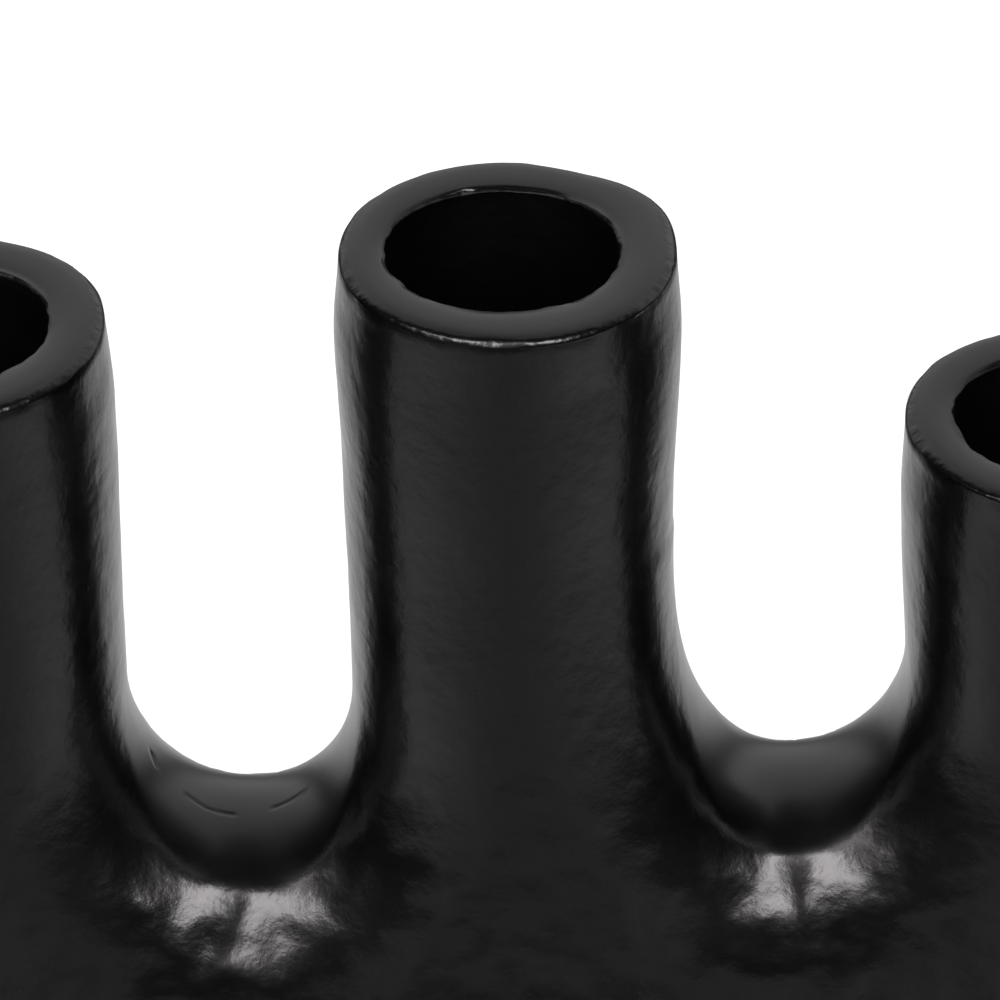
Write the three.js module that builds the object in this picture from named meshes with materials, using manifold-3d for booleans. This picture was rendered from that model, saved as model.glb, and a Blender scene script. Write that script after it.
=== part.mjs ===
// A three-armed tabletop candelabra for dinner candles, in millimetres, +Z up.
// The origin is on the table, under the middle of the foot. The arms stand in a row along X,
// and -Y is the front. The body is one hollow casting with an open bottom: a base plate closes
// it on four screws, felt pads carry it, and a disc down each bore is what a candle stands on.

import * as THREE from 'three';
import { LoftGeometry } from 'three/addons/geometries/LoftGeometry.js';
import { mergeVertices } from 'three/addons/utils/BufferGeometryUtils.js';
import Module from 'manifold-3d';

const wasm = await Module();
wasm.setup();

// Driving dimensions
const HEIGHT = 200; // table to the rim of the middle arm
const ARM_SPACING = 56; // between the axes of two neighbouring rims
const CANDLE_DIAMETER = 22.2; // a 7/8 inch dinner candle
const CANDLE_CLEARANCE = 0.4; // all round the candle
const RIM_RADIUS = 17.1; // an arm is widest just under its rim
const WAIST_RADIUS = 16; // and slimmest this much lower down
const WAIST_DEPTH = 37;
const ARM_ROOT = 2; // how far an arm reaches down into the trunk
const LEFT_LEAN = THREE.MathUtils.degToRad(2.5); // the left arm leans outward a little
const LEFT_RIM_DROP = 8.7; // below the middle rim
const RIGHT_RIM_DROP = 19;
const LEFT_SADDLE_DROP = 65.5; // top of the saddle below the middle rim
const RIGHT_SADDLE_DROP = 61.3;
const FOOT_LENGTH = 180;
const FOOT_DEPTH = 92;
const WALL = 5;

// Smaller dimensions
const GAP = 0.3; // between pieces that touch
const RIM_EDGE = 0.8; // radius of the outer edge of a rim
const BORE_EDGE = 0.5; // chamfer of the inner edge of a rim
const SOCKET_DEPTH = 28; // rim to the top of the candle stop
const CORE_NARROWING = 2; // the bore goes on below the stop, this much smaller in radius
const STOP_THICKNESS = 1.6;
const STOP_EDGE = 0.4;
const SHADOW_GAP = 2; // table to the edge of the foot
const FOOT_EDGE = 2.5; // radius of the lower edge of the foot
const FOOT_FLARE = 2.5; // power of the curve that the foot flares by
const FOOT_TAPER = 1.5; // power of the curve that the ends draw in by
const SADDLE_BENDS = {
  // x of the lowest point, and how high the centre line climbs from there to each arm
  left: { lowest: -25.9, leftClimb: 31.5, rightClimb: 30.5 },
  right: { lowest: 28.2, leftClimb: 46, rightClimb: 31 },
};
const LIP = 5; // width of the foot's edge round the base plate
const PAD_THICKNESS = 3;
const PAD_RADIUS = 9;
const PAD_EDGE = 0.6;
const PLATE_THICKNESS = 2;
const PLATE_EDGE = 0.4;
const SCREW_RADIUS = 2; // M4
const SCREW_LENGTH = 12;
const SCREW_POINT = { length: 1, radius: 1.2 };
const HEAD_RADIUS = 4;
const HEAD_HEIGHT = 2.2;
const HEAD_CROWN = { flat: 2.4, shoulder: 3.7, shoulderHeight: 1.3, side: 0.7 }; // of a pan head
const DRIVER_SLOT = { length: 4.4, width: 0.9, depth: 1.2 };
const BOSS_RADIUS = 5;
const PAD_PLACE = { x: 56, y: 24 };
const SCREW_PLACE = { x: 34, y: 30 };
const OVERCUT = 1; // how far a cut reaches past the face that it opens

// Worked out from them
const SADDLE_RADIUS = WAIST_RADIUS - 0.1; // a saddle is a hair slimmer than the arms that it joins
const BORE_RADIUS = CANDLE_DIAMETER / 2 + CANDLE_CLEARANCE;
const CORE_RADIUS = BORE_RADIUS - CORE_NARROWING;
const SHOULDER_DEPTH = SOCKET_DEPTH + STOP_THICKNESS + GAP;
const FOOT_RADIUS = FOOT_DEPTH / 2;
const FOOT_END = FOOT_LENGTH / 2 - FOOT_RADIUS; // middle of each round end of the foot
const PLATE_UNDERSIDE = PAD_THICKNESS + GAP;
const RECESS_TOP = PLATE_UNDERSIDE + PLATE_THICKNESS + GAP;
const RECESS_RADIUS = FOOT_RADIUS - LIP;

// The leaning arm turns upright where its saddle meets it
const LEAN_PIVOT = HEIGHT - LEFT_SADDLE_DROP - SADDLE_RADIUS + SADDLE_BENDS.left.leftClimb;
const LEAN_HEIGHT = HEIGHT - LEFT_RIM_DROP - LEAN_PIVOT;
const LEFT_FOOT_X = -(ARM_SPACING - LEAN_HEIGHT * Math.tan(LEFT_LEAN));
const LEAN_AXIS = new THREE.Vector3(0, 1, 0);

const ARMS = [
  { side: 'left', x: LEFT_FOOT_X, rim: HEIGHT - LEFT_RIM_DROP, lean: LEFT_LEAN },
  { side: 'middle', x: 0, rim: HEIGHT, lean: 0 },
  { side: 'right', x: ARM_SPACING, rim: HEIGHT - RIGHT_RIM_DROP, lean: 0 },
];
const SADDLES = [
  { from: LEFT_FOOT_X, to: 0, crest: HEIGHT - LEFT_SADDLE_DROP, bend: SADDLE_BENDS.left },
  { from: 0, to: ARM_SPACING, crest: HEIGHT - RIGHT_SADDLE_DROP, bend: SADDLE_BENDS.right },
];

// How finely round things are cut into flats
const ARM_SIDES = 36;
const BORE_SIDES = 28;
const SMALL_SIDES = 16;
const SADDLE_SIDES = 18;
const SADDLE_STEPS = 16;
const END_STEPS = 12; // round half of an obround
const EDGE_STEPS = 3; // round a quarter of an edge
const TRUNK_LEVELS = 10;
const HOLLOW_LEVELS = 8;
const WAIST_LEVELS = 5; // down an arm from its rim to its waist
const MERGE_DISTANCE = 1e-4;

// Closed geometry to a solid for cutting and joining
function solid(geometry) {
  geometry.deleteAttribute('normal');
  geometry.deleteAttribute('uv');
  const merged = mergeVertices(geometry, MERGE_DISTANCE);
  const vertProperties = new Float32Array(merged.attributes.position.array);
  const triVerts = new Uint32Array(merged.index.array);
  return new wasm.Manifold(new wasm.Mesh({ numProp: 3, vertProperties, triVerts }));
}

// Solid back to geometry
function geometryOf(body) {
  const mesh = body.getMesh();
  const geometry = new THREE.BufferGeometry();
  geometry.setAttribute('position', new THREE.BufferAttribute(mesh.vertProperties, 3));
  geometry.setIndex(new THREE.BufferAttribute(mesh.triVerts, 1));
  return geometry;
}

function joined(solids) {
  return solids.reduce((whole, next) => whole.add(next));
}

function piece(name, geometry, material, x = 0, y = 0, z = 0) {
  const mesh = new THREE.Mesh(geometry, material);
  mesh.name = name;
  mesh.position.set(x, y, z);
  return mesh;
}

// Turned shape about +Z; the profile is a list of [radius, height], going up
function turned(profile, sides) {
  const points = profile.map(([radius, height]) => new THREE.Vector2(radius, height));
  return new THREE.LatheGeometry(points, sides).rotateX(Math.PI / 2);
}

function cylinder(radius, from, to, sides) {
  return turned([[0, from], [radius, from], [radius, to], [0, to]], sides);
}

// Outline of a plate with round ends, seen from above; each end has its own middle
function obround(leftEnd, rightEnd, radius, heightAt) {
  const points = [];
  for (const [middle, start] of [[rightEnd, -Math.PI / 2], [leftEnd, Math.PI / 2]]) {
    for (let step = 0; step <= END_STEPS; step++) {
      const angle = start + (Math.PI * step) / END_STEPS;
      const x = middle + radius * Math.cos(angle);
      points.push(new THREE.Vector3(x, radius * Math.sin(angle), heightAt(x)));
    }
  }
  return points;
}

// Closed shape through outlines, from the lowest up
function lofted(outlines) {
  const loft = new LoftGeometry(outlines, { capStart: true, capEnd: true });
  return new THREE.BufferGeometry().copy(loft);
}

// Obround plate from one height to another
function obroundPlate(end, radius, from, to) {
  return lofted([from, to].map((height) => obround(-end, end, radius, () => height)));
}

// Puts something made about the middle axis on an arm's axis, which is upright below its pivot
function onArm(arm, geometry) {
  const places = geometry.attributes.position;
  const place = new THREE.Vector3();
  for (let i = 0; i < places.count; i++) {
    place.fromBufferAttribute(places, i).setZ(places.getZ(i) - LEAN_PIVOT);
    if (place.z > 0) {
      place.applyAxisAngle(LEAN_AXIS, -arm.lean);
    }
    places.setXYZ(i, place.x + arm.x, place.y, place.z + LEAN_PIVOT);
  }
  geometry.computeVertexNormals();
  return geometry;
}

// Radius of an arm at a depth below its rim
function armRadius(depth) {
  const down = Math.min(depth / WAIST_DEPTH, 1);
  return WAIST_RADIUS + ((RIM_RADIUS - WAIST_RADIUS) * (1 + Math.cos(Math.PI * down))) / 2;
}

// Tubular arm, solid, from inside the trunk up to its flat rim
function armOutside(arm) {
  const low = trunkTop(arm.x) - ARM_ROOT;
  const profile = [[0, low], [WAIST_RADIUS, low]];
  for (let level = 0; level <= WAIST_LEVELS; level++) {
    const depth = WAIST_DEPTH + ((RIM_EDGE - WAIST_DEPTH) * level) / WAIST_LEVELS;
    profile.push([armRadius(depth), arm.rim - depth]);
  }
  for (let step = 1; step <= EDGE_STEPS; step++) {
    const angle = (Math.PI / 2) * (step / EDGE_STEPS);
    const radius = armRadius(RIM_EDGE) - RIM_EDGE + RIM_EDGE * Math.cos(angle);
    profile.push([radius, arm.rim - RIM_EDGE + RIM_EDGE * Math.sin(angle)]);
  }
  profile.push([0, arm.rim]);
  return solid(onArm(arm, turned(profile, ARM_SIDES)));
}

// Candle bore, its shoulder, and the narrower core hole that goes on down into the hollow body
function armBore(arm) {
  const shoulder = arm.rim - SHOULDER_DEPTH;
  const low = hollowTop(arm.x) - WALL;
  const above = arm.rim + OVERCUT;
  const profile = [
    [0, low],
    [CORE_RADIUS, low],
    [CORE_RADIUS, shoulder],
    [BORE_RADIUS, shoulder],
    [BORE_RADIUS, arm.rim - BORE_EDGE],
    [BORE_RADIUS + BORE_EDGE + OVERCUT, above],
    [0, above],
  ];
  return solid(onArm(arm, turned(profile, BORE_SIDES)));
}

// Centre line of a saddle: it hangs between two arms, a quarter of an ellipse on each side
class SaddleLine extends THREE.Curve {
  constructor(saddle) {
    super();
    this.saddle = saddle;
  }

  getPoint(t, target = new THREE.Vector3()) {
    const { from, to, crest, bend } = this.saddle;
    const angle = Math.PI * (1 - t);
    const onLeft = t < 0.5;
    const reach = onLeft ? bend.lowest - from : to - bend.lowest;
    const climb = onLeft ? bend.leftClimb : bend.rightClimb;
    const x = bend.lowest + reach * Math.cos(angle);
    return target.set(x, 0, crest - SADDLE_RADIUS + climb * (1 - Math.sin(angle)));
  }
}

// U-shaped saddle, round in section, between two arms
function saddleOutside(saddle) {
  const section = new THREE.Shape().absarc(0, 0, SADDLE_RADIUS, 0, 2 * Math.PI);
  const geometry = new THREE.ExtrudeGeometry(section, {
    steps: SADDLE_STEPS,
    curveSegments: SADDLE_SIDES,
    bevelEnabled: false,
    extrudePath: new SaddleLine(saddle),
  });
  return solid(geometry);
}

// Web from the trunk up to a saddle's centre line, as thick as the saddle and flush with it
function saddleWeb(saddle) {
  const line = new SaddleLine(saddle).getPoints(SADDLE_STEPS);
  const outline = line.map((point) => new THREE.Vector2(point.x, point.z));
  for (const x of [saddle.to, saddle.from]) {
    outline.push(new THREE.Vector2(x, trunkTop(x) - ARM_ROOT));
  }
  const thickness = 2 * SADDLE_RADIUS;
  const plate = new THREE.ExtrudeGeometry(new THREE.Shape(outline), {
    depth: thickness,
    bevelEnabled: false,
  });
  return solid(plate.translate(0, 0, -thickness / 2).rotateX(Math.PI / 2));
}

// The trunk ends level with the lowest points of the two saddles, which aren't equally high
function trunkTop(x) {
  const [left, right] = SADDLES;
  const along = (x - left.bend.lowest) / (right.bend.lowest - left.bend.lowest);
  return left.crest - SADDLE_RADIUS + (right.crest - left.crest) * along;
}

// Outline of the trunk at a share of the way up from the foot, moved in by an inset
function trunkOutline(share, inset, heightAt) {
  const flare = (1 - share) ** FOOT_FLARE;
  const taper = (1 - share) ** FOOT_TAPER;
  const radius = SADDLE_RADIUS + (FOOT_RADIUS - SADDLE_RADIUS) * flare - inset;
  const [left, , right] = ARMS;
  const leftEnd = left.x + (-FOOT_END - left.x) * taper;
  const rightEnd = right.x + (FOOT_END - right.x) * taper;
  return obround(leftEnd, rightEnd, radius, heightAt);
}

// Flaring trunk from the foot up to the saddles, with a rounded lower edge
function trunkOutside() {
  const outlines = [];
  const widest = SHADOW_GAP + FOOT_EDGE;
  for (let step = 0; step < EDGE_STEPS; step++) {
    const angle = (Math.PI / 2) * (step / EDGE_STEPS);
    const inset = FOOT_EDGE * (1 - Math.sin(angle));
    outlines.push(trunkOutline(0, inset, () => widest - FOOT_EDGE * Math.cos(angle)));
  }
  for (let level = 0; level <= TRUNK_LEVELS; level++) {
    const share = level / TRUNK_LEVELS;
    outlines.push(trunkOutline(share, 0, (x) => widest + share * (trunkTop(x) - widest)));
  }
  return solid(lofted(outlines));
}

// The hollow stops below the saddles, by the wall
function hollowTop(x) {
  return trunkTop(x) - 2 * WALL;
}

// Hollow inside the trunk, open at the bottom, less the four screw bosses that stand in it
function trunkHollow() {
  const bossTop = hollowTop(0); // well inside the wall, so that a boss reaches all the way up
  const outlines = [];
  for (let level = 0; level <= HOLLOW_LEVELS; level++) {
    const share = level / HOLLOW_LEVELS;
    outlines.push(trunkOutline(share, WALL, (x) => share * hollowTop(x)));
  }
  const bosses = corners(SCREW_PLACE).map(([x, y]) =>
    solid(cylinder(BOSS_RADIUS, RECESS_TOP, bossTop, SMALL_SIDES).translate(x, y, 0)),
  );
  return solid(lofted(outlines)).subtract(joined(bosses));
}

// The four corners of a place, one in each quarter of the foot
function corners({ x, y }) {
  return [[-x, -y], [x, -y], [x, y], [-x, y]];
}

function bodyCasting() {
  const outside = joined([
    trunkOutside(),
    ...SADDLES.map(saddleOutside),
    ...SADDLES.map(saddleWeb),
    ...ARMS.map(armOutside),
  ]);
  const recess = solid(obroundPlate(FOOT_END, RECESS_RADIUS, 0, RECESS_TOP));
  const holeTop = RECESS_TOP + SCREW_LENGTH;
  const tapped = corners(SCREW_PLACE).map(([x, y]) =>
    solid(cylinder(SCREW_RADIUS + GAP, 0, holeTop, SMALL_SIDES).translate(x, y, 0)),
  );
  const cuts = joined([trunkHollow(), recess, ...ARMS.map(armBore), ...tapped]);
  return piece('body_casting', geometryOf(outside.subtract(cuts)), black);
}

// Pressed disc that rests on the shoulder of a bore, with a rolled edge
function candleStop(arm) {
  const radius = BORE_RADIUS - GAP;
  const profile = [
    [0, 0],
    [radius - STOP_EDGE, 0],
    [radius, STOP_EDGE],
    [radius, STOP_THICKNESS - STOP_EDGE],
    [radius - STOP_EDGE, STOP_THICKNESS],
    [0, STOP_THICKNESS],
  ];
  const bottom = arm.rim - SOCKET_DEPTH - STOP_THICKNESS;
  const disc = onArm(arm, turned(profile, BORE_SIDES).translate(0, 0, bottom));
  return piece(`candle_stop_${arm.side}`, disc, steel);
}

// Plate in the recess under the foot, with a chamfered edge and four screw holes
function basePlate() {
  const radius = RECESS_RADIUS - GAP;
  const heights = [0, PLATE_EDGE, PLATE_THICKNESS - PLATE_EDGE, PLATE_THICKNESS];
  const insets = [PLATE_EDGE, 0, 0, PLATE_EDGE];
  const outlines = heights.map((height, index) =>
    obround(-FOOT_END, FOOT_END, radius - insets[index], () => height),
  );
  const holes = corners(SCREW_PLACE).map(([x, y]) => {
    const top = PLATE_THICKNESS + OVERCUT;
    const hole = cylinder(SCREW_RADIUS + GAP, -OVERCUT, top, SMALL_SIDES);
    return solid(hole.translate(x, y, 0));
  });
  const plate = geometryOf(solid(lofted(outlines)).subtract(joined(holes)));
  return piece('base_plate', plate, darkSteel, 0, 0, PLATE_UNDERSIDE);
}

// Pan-head screw, head down, with a cross recess; made with the top of its head at z = 0
function baseScrew(number, x, y) {
  const profile = [
    [0, -HEAD_HEIGHT],
    [HEAD_CROWN.flat, -HEAD_HEIGHT],
    [HEAD_CROWN.shoulder, -HEAD_CROWN.shoulderHeight],
    [HEAD_RADIUS, -HEAD_CROWN.side],
    [HEAD_RADIUS, 0],
    [SCREW_RADIUS, 0],
    [SCREW_RADIUS, SCREW_LENGTH - SCREW_POINT.length],
    [SCREW_POINT.radius, SCREW_LENGTH],
    [0, SCREW_LENGTH],
  ];
  const { length, width, depth } = DRIVER_SLOT;
  const cutHeight = depth + OVERCUT;
  const slot = solid(new THREE.BoxGeometry(length, width, cutHeight));
  const cross = solid(new THREE.BoxGeometry(width, length, cutHeight));
  const driver = slot.add(cross).translate([0, 0, -HEAD_HEIGHT + depth - cutHeight / 2]);
  const screw = solid(turned(profile, SMALL_SIDES)).subtract(driver);
  return piece(`base_screw_${number}`, geometryOf(screw), zinc, x, y, PAD_THICKNESS);
}

// Felt disc under the plate
function footPad(number, x, y) {
  const profile = [
    [0, 0],
    [PAD_RADIUS - PAD_EDGE, 0],
    [PAD_RADIUS, PAD_EDGE],
    [PAD_RADIUS, PAD_THICKNESS],
    [0, PAD_THICKNESS],
  ];
  return piece(`foot_pad_${number}`, turned(profile, SMALL_SIDES), felt, x, y);
}

const black = new THREE.MeshStandardMaterial({ color: 0x161616, roughness: 0.38, metalness: 0.1 });
const steel = new THREE.MeshStandardMaterial({ color: 0x3a3a3b, roughness: 0.5, metalness: 0.8 });
const darkSteel = new THREE.MeshStandardMaterial({ color: 0x1d1d1e, roughness: 0.6, metalness: 0.3 });
const zinc = new THREE.MeshStandardMaterial({ color: 0xa8a9aa, roughness: 0.35, metalness: 0.9 });
const felt = new THREE.MeshStandardMaterial({ color: 0x202022, roughness: 0.95, metalness: 0 });

const candelabra = new THREE.Group();
candelabra.add(bodyCasting());
for (const arm of ARMS) {
  candelabra.add(candleStop(arm));
}
candelabra.add(basePlate());
corners(SCREW_PLACE).forEach(([x, y], index) => candelabra.add(baseScrew(index + 1, x, y)));
corners(PAD_PLACE).forEach(([x, y], index) => candelabra.add(footPad(index + 1, x, y)));

export default candelabra;
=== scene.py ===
"""Looks of a three-armed cast candelabra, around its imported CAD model.

Lengths are in millimetres until a mesh is made; Blender objects are in metres.
"""

import math

import bmesh
import bpy
import numpy as np
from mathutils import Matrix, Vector


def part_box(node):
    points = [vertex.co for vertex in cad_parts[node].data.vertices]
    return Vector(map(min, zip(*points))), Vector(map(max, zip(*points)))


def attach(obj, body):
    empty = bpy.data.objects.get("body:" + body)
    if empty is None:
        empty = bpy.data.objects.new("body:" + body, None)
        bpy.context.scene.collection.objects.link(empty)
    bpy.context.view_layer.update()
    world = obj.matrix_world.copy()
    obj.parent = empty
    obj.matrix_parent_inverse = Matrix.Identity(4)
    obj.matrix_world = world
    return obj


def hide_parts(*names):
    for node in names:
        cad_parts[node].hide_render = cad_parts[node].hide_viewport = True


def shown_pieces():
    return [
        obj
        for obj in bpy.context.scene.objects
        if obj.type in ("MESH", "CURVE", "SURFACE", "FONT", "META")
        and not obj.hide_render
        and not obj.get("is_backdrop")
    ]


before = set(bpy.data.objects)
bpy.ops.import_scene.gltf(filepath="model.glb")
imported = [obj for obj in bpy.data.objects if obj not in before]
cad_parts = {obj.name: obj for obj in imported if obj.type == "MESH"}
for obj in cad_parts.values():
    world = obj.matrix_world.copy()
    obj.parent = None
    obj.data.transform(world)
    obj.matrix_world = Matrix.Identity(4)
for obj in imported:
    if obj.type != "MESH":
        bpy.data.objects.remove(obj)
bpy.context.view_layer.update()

MM = 0.001
GAP = 0.3  # between pieces that touch
TINY = 1e-6


def box_of(node_name):
    """Low corner, high corner and middle of a CAD node's box, in millimetres."""
    low, high = (np.array(corner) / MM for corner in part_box(node_name))
    return low, high, (low + high) / 2


# Sizes that the frame gives
BODY_LOW, BODY_HIGH, _ = box_of("body_casting")
HEIGHT = BODY_HIGH[2]
FOOT_LEVEL = BODY_LOW[2]
FOOT_RADIUS = BODY_HIGH[1]
FOOT_END = BODY_HIGH[0] - FOOT_RADIUS

# Sizes of the casting that its box doesn't give
RIM_RADIUS = 17.1
WAIST_RADIUS = 16.2
WAIST_DEPTH = 37.0
SOCKET_DEPTH = 28.0
BORE_RADIUS = 11.5
CORE_RADIUS = 9.5
SADDLE_RADIUS = WAIST_RADIUS - 0.1  # a saddle is a hair slimmer than its arms
LEFT_LEAN = math.radians(2.5)  # the left arm leans outward
LEFT_SADDLE_DROP = 65.0  # top of the saddle below the middle rim
RIGHT_SADDLE_DROP = 60.8
# X where a saddle is lowest, X and depth of the crease under it, and its climb to each arm
LEFT_BEND = {"lowest": -25.9, "crease": (-28.3, 0.55), "climbs": (31.5, 30.5)}
RIGHT_BEND = {"lowest": 28.2, "crease": (29.3, 0.4), "climbs": (46.0, 31.0)}
LEAN_BEND = 6.0  # height over which the leaning arm turns upright
FOOT_EDGE = 2.5
FOOT_FLARE = 2.5
FOOT_TAPER = 1.5
RECESS_LIP = 5.0
RECESS_TOP = 5.6
RECESS_EDGE = 0.3
CAP_INSET = 2.0  # the border of the recess's end face stays off its corner
MIDDLE_SWAY = 0.4  # the middle arm drifts this far to the right on its way down
SWAY_DEPTH = 45.0  # and has done so this far below its rim
RIM_EDGE = 0.8
RIM_LONGER = 0.6  # a rim is this much longer than wide, each way
RIM_SIDE_ROLL = 0.7  # and rounder at its sides than in front
RIM_BULGES = {
    # direction seen from above (0 is +X, 90 is the back), how far out, how narrow
    "left": [(40, 0.3, 8)],
    "middle": [(36, 1.0, 14), (68, -0.5, 18), (150, 0.3, 10)],
    "right": [(145, 0.5, 10)],
}
# How each circle of a rim strays from round: first seed, numbers of waves round it, and size
RIM_STRAYS = {
    "outside": (100, (3, 4, 5), 0.15),
    "bore": (200, (2, 3, 4, 5, 7, 9, 11, 14), 0.3),
    "dents": (300, (9, 13, 17, 23, 29, 31, 37), 0.3),
    "knocks": (400, (11, 17, 23, 31, 37, 43), 0.12),
}
DENTS_IN_BORE = 0.3  # share of the dents that goes on into the bore
BORE_OFFSET = 0.4  # the bore isn't quite in the middle of its arm
RIM_ROLL = 1.6  # width of the soft roll before the outer edge of a rim
ROLL_SLOPE = math.radians(12)  # of a roll, where it meets its edge
BORE_EDGE = 0.45
BORE_ROLL = 2.4
BORE_TRUE = 8.0  # depth from which the bore has its own radius
BLIND_DEPTH = 4.0  # the bore ends this far below its shoulder
FLUTE_DEPTH = 1.6  # valleys that run on down the trunk between the arms
FLUTE_TOP = (12.0, 60.0)  # a flute fades in over these depths below the trunk's top
FLUTE_FOOT = 45.0  # and out over this height above the foot
GROUND_CUT = 1.1  # what was ground off the top of a saddle
GROUND_START = (-26.0, -6.0)  # the cut sets in over these heights above the trunk's top
GROUND_SPARED = 0.65  # share of the cut that is missing beside a saddle's lowest point
GROUND_ASIDE = (0.1, 0.45)  # over this share of the way to the next arm's axis
GROUND_BORDER = (-0.02, 0.08)  # how far the cast skin lies inside the ground face at its border
GROUND_FLATTER = 5.8  # the ground face is this much larger in radius than an arm
SADDLE_FADE = (14.0, 40.0)  # a saddle's own form fades out over these heights, up its arms
SADDLE_CORNER = 12.0  # radius of a saddle's cast corners, in section across it
SADDLE_FLAT = 2.0  # half the flat between them, at the top
SADDLE_SHOULDER = 3.8  # middles of the corners above the saddle's centre line
SADDLE_DRAFT = math.radians(29)  # slope of its face, out to the trunk below
SADDLE_SPREAD = 0.68  # how far that section reaches, of the way to the arms
SADDLE_BLEND = 2.5  # softness of the line where the slope meets the trunk
LEAST_BLEND = 0.0025  # and where there is no slope
CREASE_WIDTH = 3.4  # soft groove down from each saddle, where the two arms grow together
CREASE_LEVELS = (-45.0, -12.0)  # it deepens over these heights above the trunk's top
CREASE_FACE = (9.0, 13.0)  # and fades over these distances from the arms' plane

# The cast skin: seed, shortest and longest wave, and size
SWELL = (11, 14, 34, 0.07)
LUMPS = (12, 3.2, 6.5, 0.06)
LEAST_LUMPS = 0.15  # share of the lumps that is left up at the rims
LUMPS_FADE = (45.0, 80.0)  # they grow over these depths below the middle rim
LUMPS_GROUND_OFF = 0.93
SKIN_OFF_RIM = 0.9
SKIN_OFF_EDGE = 0.5
SKIN_FOOT = (3.0, 20.0)  # nothing stands out below these heights above the foot's edge

# Small pieces
INNER_RING = 0.4  # smallest ring of a disc, and of a screw
SCREW_INNER_RING = 0.3
STOP_ROLL = 0.4
STOP_DISH = 0.5
PLATE_ROLL = 0.5
PLATE_END_SIDES = 48
SCREW_RADIUS = 2.0
SCREW_HOLE = SCREW_RADIUS + GAP
SCREW_POINT = 1.0
POINT_RADIUS = 1.2
HEAD_HEIGHT = 2.2
HEAD_SIDE = 0.6  # upright part of its height
HEAD_EDGE = 0.15
THREAD_PITCH = 0.7
THREAD_DEPTH = 0.3
THREAD_FREE = 0.8  # shank without a thread, under the head
CROSS_RECESS = [(-1.0, 2.9, 0.62), (0.0, 2.4, 0.5), (1.2, 1.1, 0.3)]  # height, half length, half width
PAD_EDGE = 0.3
PAD_BULGE = 0.12
PAD_RAG = (500, 0.8, 2.4, 0.05)  # its cut edge: first seed, shortest and longest wave, and size

# Nicks that a tool left across the top of the left saddle: X and Y of their two ends
TOOL_NICKS = [
    ((-35.9, 0.1), (-35.4, -0.8)),
    ((-32.4, -0.7), (-30.4, -1.1)),
    ((-30.4, -1.1), (-27.7, -1.0)),
    ((-23.7, -0.1), (-20.6, 0.4)),
]
NICK_DEPTH = 0.13
NICK_WIDTH = 0.26

# How the body is meshed
NET_STEP = 1.0
NET_STEP_LOW = 2.4  # height of a row of faces at the foot
NET_FINE_FROM = 110.0  # height from which a row is as high as it is wide
NET_LOW = FOOT_LEVEL + 6.0
ARM_CUT = 10.0  # the arms are turned rings from this far below the rim
RELAX_ROUNDS = 6
LEVEL_ROUNDS = 4
LEAST_SLOPE = 0.05  # of the squared slope, so that no point is thrown far
EDGE_STEPS = 8  # rings round an edge of a rim
EDGE_CLEAR = 0.6  # the rings up an arm end this far below it
EDGE_SLACK = 0.1  # rings this far outside the bore's edge still move with it
ROLL_STEPS = 4
FOOT_EDGE_RINGS = 6
NICK_CUTS = 3  # cuts across each face round the tool's nicks

# The room round it, in metres and degrees
FLOOR_SOLID = 0.25
FLOOR_END = 0.66
AIM_HEIGHT = 0.7 * HEIGHT * MM
BOX_DISTANCE = 1.6
# Soft boxes in front: azimuth and elevation in degrees, width, height, and radiance
SOFT_BOXES = {
    "front_box_left": (-28, 37, 0.54, 1.0, 14.0),
    "front_box_right": (28, 37, 0.54, 1.0, 14.0),
    "side_box": (-60, 40, 0.4, 0.5, 5.0),
}
WALL_TOP = 57
WALL_GLOW = 0.9
ROOM_GLOW = 0.015
WALL_TURN = 0.25  # the wall is turned a little to the right
WALL_EDGE = (0.25, 0.6)  # its sides fade in over these shares of straight behind
WALL_TOP_SOFT = 0.05  # and its top over this share of straight up
FLOOR_DARK = 0.1  # and its foot over this share of straight down
CAMERA_ELEVATION = math.radians(32)
CAMERA_DISTANCE = 0.832
CAMERA_AIM = Vector((-0.0007, 0, HEIGHT * MM - 0.029))
CAMERA_LENS = 302


def smoothstep(low, high, value):
    share = np.clip((value - low) / (high - low), 0, 1)
    return share * share * (3 - 2 * share)


class Arm:
    """One tubular arm: its axis, its rim and how far it leans outward."""

    def __init__(self, side, lean):
        _, _, middle = box_of(f"candle_stop_{side}")
        reach = SOCKET_DEPTH + STOP_THICKNESS / 2
        self.side = side
        self.lean = lean
        self.rim_x = middle[0] - reach * math.sin(lean)
        self.rim = middle[2] + reach * math.cos(lean)

    def axis(self, z):
        """X of the axis at height z; a leaning arm turns upright where it meets its saddle."""
        over = z - LEAN_PIVOT
        ramp = (over + np.sqrt(over * over + LEAN_BEND * LEAN_BEND)) / 2
        full = self.rim - LEAN_PIVOT
        sway = MIDDLE_SWAY if self.side == "middle" else 0
        sway = sway * smoothstep(ARM_CUT, SWAY_DEPTH, self.rim - z)
        return self.rim_x + sway + (full - ramp) * math.tan(self.lean)

    def place(self, radius, angle, depth):
        """Points round the arm's own axis, at a depth below its rim."""
        across = radius * np.cos(angle)
        x = self.rim_x + across * math.cos(self.lean) + depth * math.sin(self.lean)
        z = self.rim + across * math.sin(self.lean) - depth * math.cos(self.lean)
        return np.array([x, radius * np.sin(angle), z])

    def depth(self, points):
        """How far points lie below the plane of the rim."""
        x, _, z = points
        return (x - self.rim_x) * math.sin(self.lean) + (self.rim - z) * math.cos(self.lean)


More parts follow.
